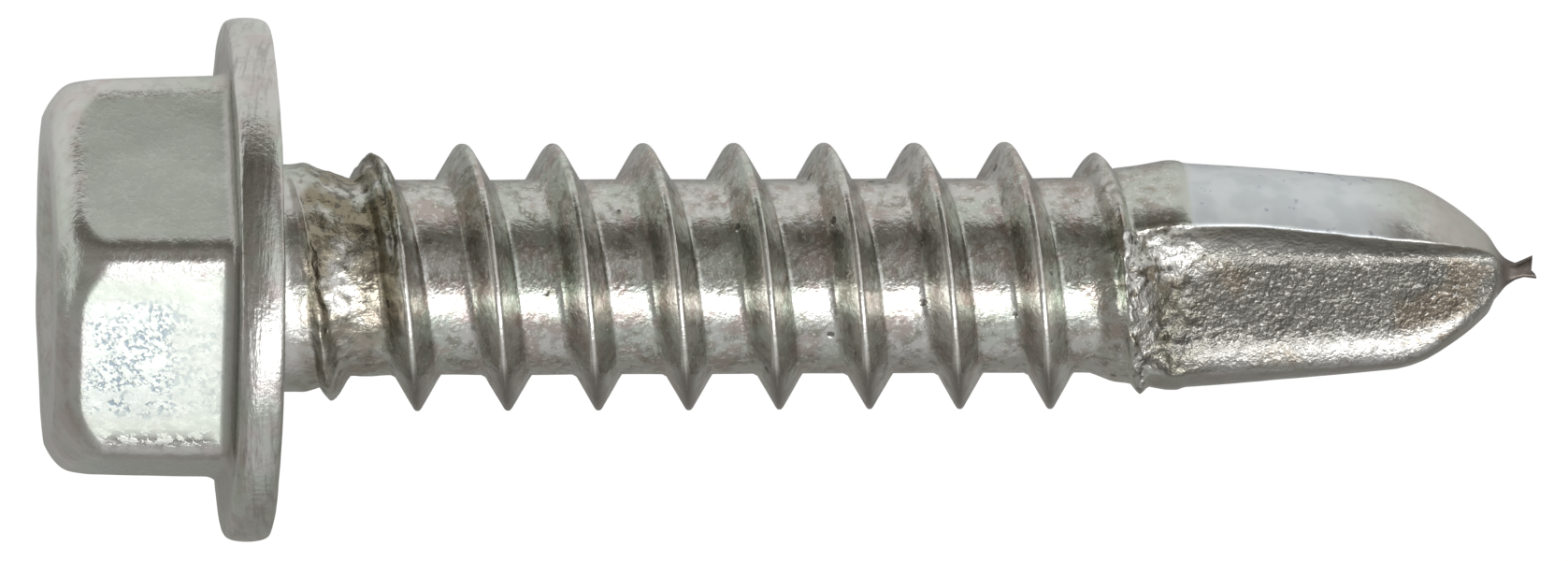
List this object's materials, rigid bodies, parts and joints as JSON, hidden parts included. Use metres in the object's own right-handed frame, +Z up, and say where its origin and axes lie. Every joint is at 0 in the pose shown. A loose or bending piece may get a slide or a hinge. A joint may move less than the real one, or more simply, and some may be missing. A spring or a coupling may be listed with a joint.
{
  "type": "self drilling screw",
  "caption": "Self drilling screw lying on its side: hexagon head with a forged washer flange, coarse rolled thread, two-flute pinched drill point.",
  "frame": {"origin": "on the surface the screw lies on, below the middle of its bounding box", "axes": "+Z up from that surface, +X towards the drill point; the screw's own axis leans down towards the point by 9.2 degrees"},
  "size_m": [0.0301, 0.0104, 0.0103],
  "materials": {
    "zinc_plated_steel": "bright zinc plating with olive and brown tints, dull in the roots and flutes"
  },
  "bodies": {
    "root": {"screw": "zinc_plated_steel"}
  },
  "joints": []
}
